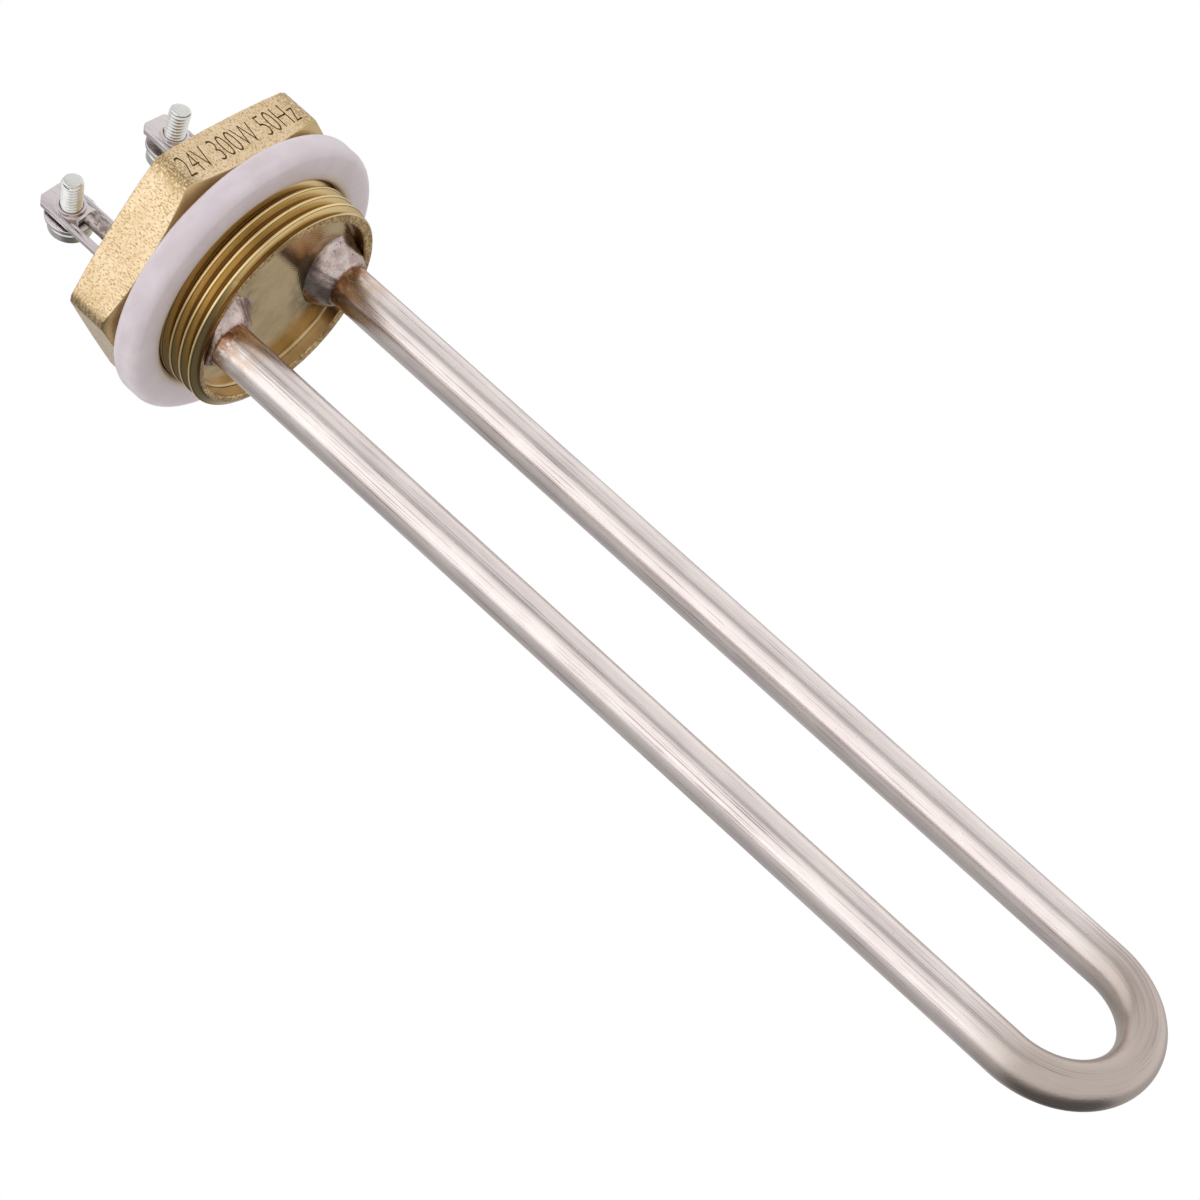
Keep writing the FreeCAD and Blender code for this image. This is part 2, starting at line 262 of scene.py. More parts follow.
@dataclass(frozen=True)
class Finish:
    """One real surface as a material.

    Attributes:
        name: Common name of the material and how its surface was made.
        colour: Main colour.
        roughness: Roughness of the clean surface.
        metallic: 1 for bare metal, 0 for the rest.
    """

    name: str
    colour: str
    roughness: float
    metallic: float = 1.0

    def build(self) -> bpy.types.Material:
        """Make the material.

        Returns:
            The dressed material.
        """
        material = bpy.data.materials.new(self.name)
        material.use_nodes = True
        tree = material.node_tree
        shader = tree.nodes["Principled BSDF"]
        shader.inputs["Base Color"].default_value = linear(self.colour)
        shader.inputs["Roughness"].default_value = self.roughness
        shader.inputs["Metallic"].default_value = self.metallic
        self.dress(tree, shader)
        return material

    def dress(self, tree: bpy.types.NodeTree, shader: bpy.types.Node) -> None:
        """Add a faint unevenness of tone and surface, as on any plain moulded or fired piece.

        Args:
            tree: Tree of the material.
            shader: Its main shader.
        """
        cloud = blotches(tree, (1.5, 1.5, 1.5), (0.35, 0.65))
        rough = level(tree, cloud, (0, 1), (self.roughness + 0.06, self.roughness - 0.06))
        tree.links.new(rough, shader.inputs["Roughness"])
        relief(tree, shader, [(blotches(tree, (0.3, 0.3, 0.3), (0.2, 0.8)), 0.01)])


@dataclass(frozen=True)
class WorkedBrass(Finish):
    """Brass as it comes from the mill or the lathe, dulled by handling.

    Attributes:
        shade: Second tone, in broad clouds.
        pit: Colour at the bottom of pits and scratches.
        grain: Size of a pit along each axis, in mm.
        cut: Levels of the noise between which a pit ends.
        depth: Depth of a pit, in mm.
        feed: Spacing of the turning marks round the axis in mm, or 0 for none.
    """

    shade: str = "C9A76C"
    pit: str = "7D5F33"
    grain: tuple = (0.3, 0.3, 0.8)
    cut: tuple = (0.38, 0.48)
    depth: float = 0.02
    feed: float = 0.0

    def tone(self, tree: bpy.types.NodeTree) -> bpy.types.NodeSocket:
        """Give the colour between the pits."""
        return blend(tree, blotches(tree, (5, 5, 4), (0.35, 0.7), 5), self.colour, self.shade)

    def dress(self, tree: bpy.types.NodeTree, shader: bpy.types.Node) -> None:
        """Add clouds of tone, pits that are darker and rougher, and turning marks.

        Args:
            tree: Tree of the material.
            shader: Its main shader.
        """
        clean = blotches(tree, self.grain, self.cut, 5)
        tree.links.new(blend(tree, clean, self.pit, self.tone(tree)), shader.inputs["Base Color"])
        rough = level(tree, clean, (0, 1), (self.roughness + 0.15, self.roughness))
        tree.links.new(rough, shader.inputs["Roughness"])
        layers = [(clean, self.depth)]
        if self.feed:
            # the rings of a wave at scale 1 are a turn of the circle over 20 units apart
            marks = add_node(tree, "ShaderNodeTexWave", {
                "Vector": millimetres(tree, (1, 1, 1)), "Scale": TAU / (20 * self.feed),
                "Distortion": 0.4, "Detail": 1.0,
            }, wave_type="RINGS", rings_direction="Z")
            layers.append((marks.outputs["Fac"], 0.006))
        relief(tree, shader, layers)


@dataclass(frozen=True)
class HexBrass(WorkedBrass):
    """Side of the hexagon, where ragged patches of the bar's dark skin are left near the corners.

    Attributes:
        skin: Colour of the skin.
        skinned: Distances from the axis at which the skin begins and would be whole, in mm.
    """

    skin: str = "927A4C"
    skinned: tuple = (27.6, 28.9)

    def tone(self, tree: bpy.types.NodeTree) -> bpy.types.NodeSocket:
        """Give the clean colour, going over to the skin near the corners in ragged patches.

        Args:
            tree: Tree of the material.

        Returns:
            Socket of the colour.
        """
        near = level(tree, axis_distance(tree, 0.0), self.skinned)
        ragged = product(tree, near, blotches(tree, (0.45, 0.45, 0.35), (0.38, 0.56), 4))
        return blend(tree, ragged, super().tone(tree), self.skin)


@dataclass(frozen=True)
class ThreadBrass(WorkedBrass):
    """Brass thread: olive flanks, pale crests partly worn and partly painted highlight, painted
    shade in the roots.

    Attributes:
        root: Colour of the painted shade at the root and beside the crest.
        low: Radius of the root, in mm.
        high: Radius of the crest, in mm.
    """

    root: str = "6E4C24"
    low: float = 19.4765
    high: float = 20.955

    def tone(self, tree: bpy.types.NodeTree) -> bpy.types.NodeSocket:
        """Give the colour by the distance from the axis, with painted shade at the root and beside
        the crest.

        Args:
            tree: Tree of the material.

        Returns:
            Socket of the colour.
        """
        climb = level(tree, axis_distance(tree, 0.0), (self.low, self.high))
        # the root and a thin band below the crest are painted shade, and the crest's pale colour is
        # partly a painted highlight
        ramp = add_node(tree, "ShaderNodeValToRGB", {0: climb}, stops=[
            (0.0, self.root), (0.30, self.shade), (0.80, self.shade), (0.88, self.root),
            (0.95, self.colour),
        ])
        return ramp.outputs["Color"]


@dataclass(frozen=True)
class CupBrass(WorkedBrass):
    """Turned floor and wall of the cup, stained by flux round the legs.

    Attributes:
        stain_and_shade: Colour of the discolouring and painted shade near the legs.
        stain_and_shade_reach: Distances from a leg's axis at which the discolouring and painted
            shade begin and are full, in mm.
    """

    stain_and_shade: str = "5E5230"
    stain_and_shade_reach: tuple = (11.0, 6.5)

    def tone(self, tree: bpy.types.NodeTree) -> bpy.types.NodeSocket:
        """Give the clean colour, going over to the discolouring and painted shade near the legs in
        ragged patches.

        Args:
            tree: Tree of the material.

        Returns:
            Socket of the colour.
        """
        plain = super().tone(tree)
        # near the legs the floor darkens: partly discolouring, partly painted shade and reflection
        # of the braze
        near = level(tree, axis_distance(tree, LEG_X), self.stain_and_shade_reach)
        ragged = product(tree, near, blotches(tree, (2.5, 2.5, 2.5), (0.3, 0.6), 5))
        return blend(tree, ragged, plain, self.stain_and_shade)


@dataclass(frozen=True)
class DrawnSteel(Finish):
    """Drawn stainless tube: lengthwise lines, heat tint at the braze and on the bend.

    The mesh has UV in mm, with the length along U and the way round along V.

    Attributes:
        pale: Second tone, in clouds along the tube.
        line: Colour of the lengthwise lines.
        tint: Straw tint next to the braze.
        scorch: Red brown collar at the braze itself.
        oxide: Brown grey of the bend.
        inside_z: Heights between which the heat marks begin, inside the plug, in mm.
        tinted_z: Heights between which the tint grows.
        scorched_z: Heights between which the scorch grows.
        bent_z: Heights between which the bend's skin begins.
    """

    pale: str = "F0E6E2"
    line: str = "A09392"
    tint: str = "CFAF92"
    scorch: str = "A07C64"
    oxide: str = "C6B8AF"
    inside_z: tuple = (0.0, -6.0)
    tinted_z: tuple = (-24.0, -15.5)
    scorched_z: tuple = (-18.0, -15.0)
    bent_z: tuple = (-180.0, -192.0)

    def dress(self, tree: bpy.types.NodeTree, shader: bpy.types.Node) -> None:
        """Add drawing lines, specks, tints and the duller, pebbled skin of the bend.

        Args:
            tree: Tree of the material.
            shader: Its main shader.
        """
        height = height_above(tree)
        lines = blotches(tree, (90, 0.3, 1), (0.36, 0.46), 4, "UV")
        seam = blotches(tree, (25, 0.12, 1), (0.30, 0.36), 2, "UV")
        specks = blotches(tree, (0.5, 0.35, 1), (0.27, 0.33), 4, "UV")
        cloud = blotches(tree, (14, 5, 1), (0.3, 0.7), 4, "UV")
        bent = level(tree, height, self.bent_z)
        tone = blend(tree, cloud, self.colour, self.pale)
        tone = blend(tree, bent, tone, self.oxide)
        tone = blend(tree, lines, blend(tree, cloud, self.line, tone), tone)
        tone = blend(tree, seam, self.line, tone)
        tone = blend(tree, specks, self.line, tone)
        ragged = blotches(tree, (2, 2, 3), (0.3, 0.65), 4)
        outside = level(tree, height, self.inside_z)
        heat = product(tree, level(tree, height, self.tinted_z), product(tree, outside, ragged))
        tone = blend(tree, heat, tone, self.tint)
        burnt = product(tree, blotches(tree, (0.8, 0.8, 1.5), (0.35, 0.55), 4), outside)
        burnt = product(tree, level(tree, height, self.scorched_z), burnt)
        tone = blend(tree, burnt, tone, self.scorch)
        tree.links.new(tone, shader.inputs["Base Color"])
        rough = level(tree, bent, (0, 1), (self.roughness, self.roughness + 0.06))
        tree.links.new(rough, shader.inputs["Roughness"])
        pebbles = product(tree, blotches(tree, (0.4, 0.4, 0.4), (0.2, 0.8), 2), bent)
        relief(tree, shader, [(lines, 0.004), (seam, 0.01), (pebbles, 0.012)])


@dataclass(frozen=True)
class FlowedBraze(Finish):
    """Silver braze, frozen as it flowed: grey mauve, freckled, red brown where it meets the tube.

    Attributes:
        pale: Second tone, in clouds.
        edge: Colour at the tube.
        freckle: Colour of the specks of flux.
    """

    pale: str = "D8C8C2"
    edge: str = "9A7560"
    freckle: str = "6E5C58"

    def dress(self, tree: bpy.types.NodeTree, shader: bpy.types.Node) -> None:
        """Add clouds, freckles, a ring of scale at the tube and a wrinkled skin.

        Args:
            tree: Tree of the material.
            shader: Its main shader.
        """
        cloud = blotches(tree, (2.4, 2.4, 2.4), (0.35, 0.65), 4)
        freckles = blotches(tree, (0.4, 0.4, 0.4), (0.30, 0.42), 4)
        ring = level(tree, axis_distance(tree, LEG_X), (SHEATH_R + 1.0, SHEATH_R + 0.2))
        ragged = product(tree, ring, blotches(tree, (0.9, 0.9, 0.9), (0.25, 0.6), 4))
        tone = blend(tree, cloud, self.colour, self.pale)
        tone = blend(tree, freckles, self.freckle, tone)
        tree.links.new(blend(tree, ragged, tone, self.edge), shader.inputs["Base Color"])
        rough = level(tree, freckles, (0, 1), (self.roughness + 0.25, self.roughness))
        tree.links.new(rough, shader.inputs["Roughness"])
        wrinkles = blotches(tree, (1.1, 1.1, 1.1), (0.2, 0.8), 3)
        relief(tree, shader, [(wrinkles, 0.025), (freckles, 0.01)])


@dataclass(frozen=True)
class PlatedSteel(Finish):
    """Steel under zinc or nickel: a bright skin with fine rub marks and dull specks.

    Attributes:
        dull: Colour of rubbed and dirty places.
        rub: Size of a rub mark along each axis, in mm.
        cut: Levels of the noise between which a speck ends.
    """

    dull: str = "7C7472"
    rub: tuple = (0.5, 0.5, 2.0)
    cut: tuple = (0.30, 0.42)

    def dress(self, tree: bpy.types.NodeTree, shader: bpy.types.Node) -> None:
        """Add rub marks, specks and clouds of roughness.

        Args:
            tree: Tree of the material.
            shader: Its main shader.
        """
        marks = blotches(tree, self.rub, self.cut, 2)
        cloud = blotches(tree, (1.5, 1.5, 1.5), (0.3, 0.7), 3)
        tree.links.new(blend(tree, marks, self.dull, self.colour), shader.inputs["Base Color"])
        rough = level(tree, cloud, (0, 1), (self.roughness - 0.05, self.roughness + 0.1))
        tree.links.new(rough, shader.inputs["Roughness"])
        relief(tree, shader, [(marks, 0.004), (cloud, 0.008)])


@dataclass(frozen=True)
class Silicone(Finish):
    """Pale moulded silicone that lets some light in, warmer where it touches the brass.

    Attributes:
        milky: Second tone, in clouds.
        warm: Colour next to the thread.
        thread_r: Radius of the gasket's hole, in mm.
    """

    milky: str = "E6DCE2"
    warm: str = "D8C2A6"
    thread_r: float = 21.1

    def dress(self, tree: bpy.types.NodeTree, shader: bpy.types.Node) -> None:
        """Add the warm inner band, faint clouds and a soft, slightly uneven skin.

        Args:
            tree: Tree of the material.
            shader: Its main shader.
        """
        shader.inputs["Subsurface Weight"].default_value = 0.5
        shader.inputs["Subsurface Radius"].default_value = (1.0, 0.85, 0.8)
        shader.inputs["Subsurface Scale"].default_value = 2.0 * MM
        inner = level(tree, axis_distance(tree, 0.0), (self.thread_r + 1.8, self.thread_r + 0.2))
        cloud = blotches(tree, (6, 6, 3), (0.3, 0.7), 3)
        tone = blend(tree, cloud, self.colour, self.milky)
        tree.links.new(blend(tree, inner, tone, self.warm), shader.inputs["Base Color"])
        rough = level(tree, cloud, (0, 1), (self.roughness, self.roughness + 0.12))
        tree.links.new(rough, shader.inputs["Roughness"])
        relief(tree, shader, [(blotches(tree, (0.7, 0.7, 0.7), (0.2, 0.8), 3), 0.01)])


# Pits, turning marks and rub marks are usually finer than 0.1 mm on such pieces, which is less than
# a pixel of the render. They are drawn coarser than that, mostly from 0.2 mm up, so that they show.
FLAT = HexBrass("Milled_brass_flat", "F4DCB8", 0.28, shade="E9CEA6", pit="BC9A68",
                grain=(0.2, 0.2, 0.5), cut=(0.38, 0.49), depth=0.006)
FACE = WorkedBrass("Turned_brass_face", "E0C896", 0.32, shade="CDB27C", pit="94774A",
                   grain=(0.5, 0.5, 0.5), cut=(0.28, 0.36), depth=0.006, feed=0.25)
THREAD = ThreadBrass("Cut_brass_thread", "F0D49A", 0.28, shade="D2B884", pit="8A6A38",
                     grain=(0.5, 0.5, 0.25), cut=(0.28, 0.36), depth=0.006)
RIM = WorkedBrass("Faced_brass_rim", "E2C68C", 0.34, shade="A8875A", pit="94744A",
                  grain=(0.5, 0.5, 0.5), cut=(0.35, 0.60), depth=0.01)
CUP = CupBrass("Turned_brass_cup", "C4AA80", 0.12, shade="B0966A", pit="9A8158",
               grain=(1.0, 1.0, 1.0), cut=(0.14, 0.24), depth=0.002, feed=0.4)
MARK = WorkedBrass("Stamped_brass_mark", "846832", 0.5, shade="94763E", pit="5C4420",
                   grain=(0.2, 0.2, 0.2), cut=(0.40, 0.50), depth=0.01)
GASKET = Silicone("Moulded_silicone", "DDD2D8", 0.40, 0.0)
SHEATH = DrawnSteel("Drawn_stainless_tube", "E6DAD7", 0.25)
BRAZE = FlowedBraze("Flowed_silver_braze", "B5A09A", 0.28)
PIN = PlatedSteel("Welded_steel_pin", "B8ACA8", 0.34, dull="84746C",
                  rub=(0.6, 0.6, 1.0), cut=(0.40, 0.52))
TAB = PlatedSteel("Punched_nickelled_strip", "E2D8DA", 0.28, dull="D0C6C7", cut=(0.30, 0.45))
SCREW = PlatedSteel("Bright_zinc_on_steel", "E2E1DE", 0.26, dull="C4C0BB",
                    rub=(0.4, 0.4, 0.4), cut=(0.28, 0.36))
# dark material of the screw's thread roots: painted shade in the grooves
GROOVE_SHADE = PlatedSteel("Thread_groove_painted_shade", "5E5856", 0.42, dull="4E4846", rub=(0.4, 0.4, 0.4))
WASHER = PlatedSteel("Zinc_on_steel_washer", "EAE7E4", 0.24, dull="ABA6A2",
                     rub=(0.4, 0.4, 0.4), cut=(0.28, 0.38))
# Steatite is chalky and off-white, silicone smooth, magnesia a dull white powder, the wire dark.
BUSH = Finish("Fired_steatite", "EDE8DB", 0.5, 0.0)
SEAL = Finish("Cast_silicone_seal", "BF5A48", 0.5, 0.0)
POWDER = Finish("Pressed_magnesia", "EBE8E0", 0.8, 0.0)
WIRE = Finish("Wound_resistance_wire", "807874", 0.4)
BOARD = Finish("Painted_pale_board", "E8E6E3", 0.6, 0.0)


def soften(points: np.ndarray, setbacks: list[float], steps: int = 4) -> np.ndarray:
    """Round corners of one or more polylines that run side by side.

    Each corner with a setback becomes the conic from a point that far before it to a point that
    far after it, with the weight cos(half the turn), which is an arc of a circle.

    Args:
        points: Corners, as an array (corners, ..., 2 or 3).
        setbacks: Distance cut off on both sides of each corner, 0 for a sharp one.
        steps: Spans of each arc.

    Returns:
        Array (rows, ..., 2 or 3).
    """
    rows = []
    for index, setback in enumerate(setbacks):
        here = points[index]
        if setback == 0:
            rows.append(here[None])
            continue
        back = points[index - 1] - here
        ahead = points[(index + 1) % len(points)] - here
        back = back / np.linalg.norm(back, axis=-1, keepdims=True)
        ahead = ahead / np.linalg.norm(ahead, axis=-1, keepdims=True)
        inside = np.clip(np.sum(back * ahead, axis=-1, keepdims=True), -1, 1)
        weight = np.sin(np.arccos(inside) / 2)
        t = np.linspace(0, 1, steps + 1).reshape((-1,) + (1,) * here.ndim)
        first, last = (1 - t) ** 2, t ** 2
        middle = 2 * t * (1 - t) * weight
        start, end = here + back * setback, here + ahead * setback
        rows.append((first * start + middle * here + last * end) / (first + middle + last))
    return np.concatenate(rows)


def ripple(angle: np.ndarray, seed: float) -> np.ndarray:
    """Give an uneven wave between about -1 and 1: the mean of four sines of unlike pace.

    Args:
        angle: Angles in radians.
        seed: Shift that makes one wave unlike another.

    Returns:
        The wave at each angle.
    """
    paces = ((3, 1.0), (7, 2.3), (13, 4.1), (29, 0.7))
    return sum(np.sin(pace * angle + seed * shift + shift) for pace, shift in paces) / len(paces)


def surface(name: str, points: np.ndarray, closed: tuple[bool, bool] = (False, False),
            zones: np.ndarray | None = None, uv: np.ndarray | None = None) -> bpy.types.Object:
    """Make an object of a grid of points.

    Each face joins the grid's points (i, j), (i + 1, j), (i + 1, j + 1) and (i, j + 1).

    Args:
        name: Name of the piece.
        points: Array (rows, columns, 3), in mm.
        closed: Whether the last row joins the first, and the last column the first.
        zones: Material slot of each face.
        uv: Array (rows, columns, 2), with one more row or column where the grid is closed.

    Returns:
        The object, with its doubles merged and its normals pointing out.
    """
    rows, cols = points.shape[:2]
    down, across = np.arange(rows - 1 + closed[0]), np.arange(cols - 1 + closed[1])
    i, j = np.meshgrid(down, across, indexing="ij")
    ring = [(i, j), (i + 1, j), (i + 1, j + 1), (i, j + 1)]
    faces = np.stack([(a % rows) * cols + b % cols for a, b in ring], axis=-1).reshape(-1, 4)
    mesh = bpy.data.meshes.new(name)
    mesh.from_pydata((points.reshape(-1, 3) * MM).tolist(), [], faces.tolist())
    if zones is not None:
        mesh.polygons.foreach_set("material_index", zones.ravel().astype(np.int32))
    if uv is not None:
        corners = np.stack([uv[a, b] for a, b in ring], axis=-2)
        mesh.uv_layers.new(name="UVMap").data.foreach_set("uv", corners.ravel())
    piece = bpy.data.objects.new(name, mesh)
    bpy.context.scene.collection.objects.link(piece)
    tidy(piece)
    return piece


def tidy(piece: bpy.types.Object, sharp: float = 35.0) -> None:
    """Merge doubles, drop slivers, point the faces out and shade them by angle.

    Args:
        piece: Piece whose mesh is tidied.
        sharp: Angle in degrees from which an edge stays sharp.
    """
    shape = bmesh.new()
    shape.from_mesh(piece.data)
    bmesh.ops.remove_doubles(shape, verts=shape.verts, dist=0.001 * MM)
    bmesh.ops.dissolve_degenerate(shape, edges=shape.edges, dist=0.0005 * MM)
    bmesh.ops.recalc_face_normals(shape, faces=shape.faces)
    shape.to_mesh(piece.data)
    shape.free()
    piece.data.shade_smooth()
    piece.data.set_sharp_from_angle(angle=math.radians(sharp))


def carve(piece: bpy.types.Object, tools: list[bpy.types.Object]) -> None:
    """Cut tools out of a piece, with each tool's material on the walls that it leaves.

    Args:
        piece: Piece that is cut.
        tools: Cutters, which are used up.
    """
    for tool in tools:
        cutter = piece.modifiers.new(tool.name, "BOOLEAN")
        cutter.operation = "DIFFERENCE"
        cutter.solver = "MANIFOLD"
        cutter.material_mode = "TRANSFER"
        cutter.object = tool
    graph = bpy.context.evaluated_depsgraph_get()
    shape = bpy.data.meshes.new_from_object(piece.evaluated_get(graph))
    piece.modifiers.clear()
    piece.data = shape
    for tool in tools:
        bpy.data.objects.remove(tool)
    tidy(piece)


def turned(name: str, profile: np.ndarray, columns: int = 64,
           closed: bool = False) -> bpy.types.Object:
    """Carry a profile of radii and heights round the Z axis.

    Args:
        name: Name of the piece.
        profile: Array (points, 2), in mm.
        columns: Steps round the axis.
        closed: Whether the profile is a ring of its own.

    Returns:
        The object.
    """
    theta = np.linspace(0, TAU, columns, endpoint=False)
    return surface(name, round_axis(profile[:, None, :], theta), (closed, True))


def round_axis(profile: np.ndarray, theta: np.ndarray) -> np.ndarray:
    """Turn radii and heights into points round the Z axis.

    Args:
        profile: Array (rows, columns or 1, 2) of radii and heights.
        theta: Angle of each column.

    Returns:
        Array (rows, columns, 3).
    """
    radius, height = np.broadcast_arrays(profile[..., 0], profile[..., 1])
    shape = np.broadcast_shapes(radius.shape, theta.shape)
    return np.stack([
        np.broadcast_to(radius * np.cos(theta), shape),
        np.broadcast_to(radius * np.sin(theta), shape),
        np.broadcast_to(height, shape),
    ], axis=-1)


def rings(theta: np.ndarray, pairs: list[tuple]) -> np.ndarray:
    """Give the rows of a profile, with a column for each angle.

    Args:
        theta: Angles of the columns.
        pairs: Radius and height of each row, as numbers or as arrays over the angles.

    Returns:
        Array (rows, columns, 2) of radii and heights.
    """
    one = np.ones_like(theta)
    return np.stack([np.stack([radius * one, height * one], axis=-1) for radius, height in pairs])


def dress(piece: bpy.types.Object, finishes: list[bpy.types.Material]) -> None:
    """Give a new piece its materials, in the order of its zones.

    Clearing the list also clears each face's zone, so it is only done where an old list is in
    the way.

    Args:
        piece: New piece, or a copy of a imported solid.
        finishes: Material of each zone.
    """
    if piece.data.materials:
        piece.data.materials.clear()
    for material in finishes:
        piece.data.materials.append(material)


def settle(piece: bpy.types.Object, node: str, body: str = ROOT) -> None:
    """Let a piece stand for a node, which is hidden, and ride on its body.

    Args:
        piece: Finished piece.
        node: Node that it stands for.
        body: Body that carries it.
    """
    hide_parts(node)
    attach(piece, body)
    LOG.info("%s stands for %s on %s, %d faces", piece.name, node, body, len(piece.data.polygons))


@dataclass(frozen=True)
class Thread:
    """Right-hand screw thread round the Z axis.

    Attributes:
        crest: Radius of the crests, in mm.
        root: Radius of the roots, in mm.
        pitch: Rise in one turn.
        root_half: Half the width of the root.
        half_angle: Slope of a flank from the plane across the axis, in degrees.
        datum: Height of the middle of a root at azimuth 0.
        start: Height of the first row.
        end: Height of the last row.
        soft: Setback of the rounding at root and crest.
    """

    crest: float
    root: float
    pitch: float
    root_half: float
    half_angle: float
    datum: float
    start: float
    end: float
    soft: float

    def section(self) -> np.ndarray:
        """Give one pitch of the profile, as heights from the root's middle and radii.

        Returns:
            Array (points, 2).
        """
        flank = (self.crest - self.root) * math.tan(math.radians(self.half_angle))
        inner, outer = self.root_half, self.root_half + flank
        corners = np.array([
            (-self.pitch / 2, self.crest), (-outer, self.crest), (-inner, self.root),
            (inner, self.root), (outer, self.crest), (self.pitch / 2, self.crest),
        ])
        return soften(corners, [0, self.soft, self.soft, self.soft, self.soft, 0], 3)

    def radius(self, theta: np.ndarray, height: np.ndarray) -> np.ndarray:
        """Give the radius at angles and heights: the section, moved up by the helix.

        Args:
            theta: Angles of the columns.
            height: Heights, in mm.

        Returns:
            Array of radii.
        """
        section = self.section()[:-1]
        phase = height - self.datum - self.pitch * theta / TAU
        return np.interp(phase, section[:, 0], section[:, 1], period=self.pitch)

    def rows(self, theta: np.ndarray) -> np.ndarray:
        """Give the grid of the thread, with rows that climb as the helix does.

        Each row starts at a corner of the section and rises by one pitch over a turn, so the
        last column meets the first one pitch higher. Heights past an end are held at it.

        Args:
            theta: Angles of the columns over one whole turn, first and last included.

        Returns:
            Array (rows, columns, 2) of radii and heights.
        """
        low, high = sorted((self.start, self.end))
        base = self.datum + self.pitch * theta[0] / TAU
        first = math.floor((low - base) / self.pitch) - 2
        last = math.ceil((high - base) / self.pitch) + 2
        turns = np.arange(first, last)
        firsts = np.sort((base + turns[:, None] * self.pitch + self.section()[:-1, 0]).ravel())
        height = np.clip(firsts[:, None] + self.pitch * (theta - theta[0]) / TAU, low, high)
        partly = (height.max(axis=1) > low) & (height.min(axis=1) < high)
        ends = np.ones((1, len(theta)))
        height = np.concatenate([low * ends, height[partly], high * ends])
        if self.start > self.end:
            height = height[::-1]
        return np.stack([self.radius(theta, height), height], axis=-1)

    def lead(self, theta: np.ndarray, to: float, slope: float, steps: int = 5) -> np.ndarray:
        """Give the chamfered stretch from the last row to a height.

        The radius is the smaller of the thread's and of a cone that starts at the crest.

        Args:
            theta: Angles of the columns.
            to: Height of the free end.
            slope: Loss of radius for each mm of length.
            steps: Number of rows.

        Returns:
            Array (steps, columns, 2) of radii and heights.
        """
        height = np.linspace(self.end, to, steps + 1)[1:, None] + 0 * theta
        cone = self.crest - slope * abs(height - self.end)
        return np.stack([np.minimum(self.radius(theta, height), cone), height], axis=-1)


class Zone(IntEnum):
    """Material slots of the plug."""

    FACE = 0
    SIDE = 1
    THREAD = 2
    RIM = 3
    CUP = 4


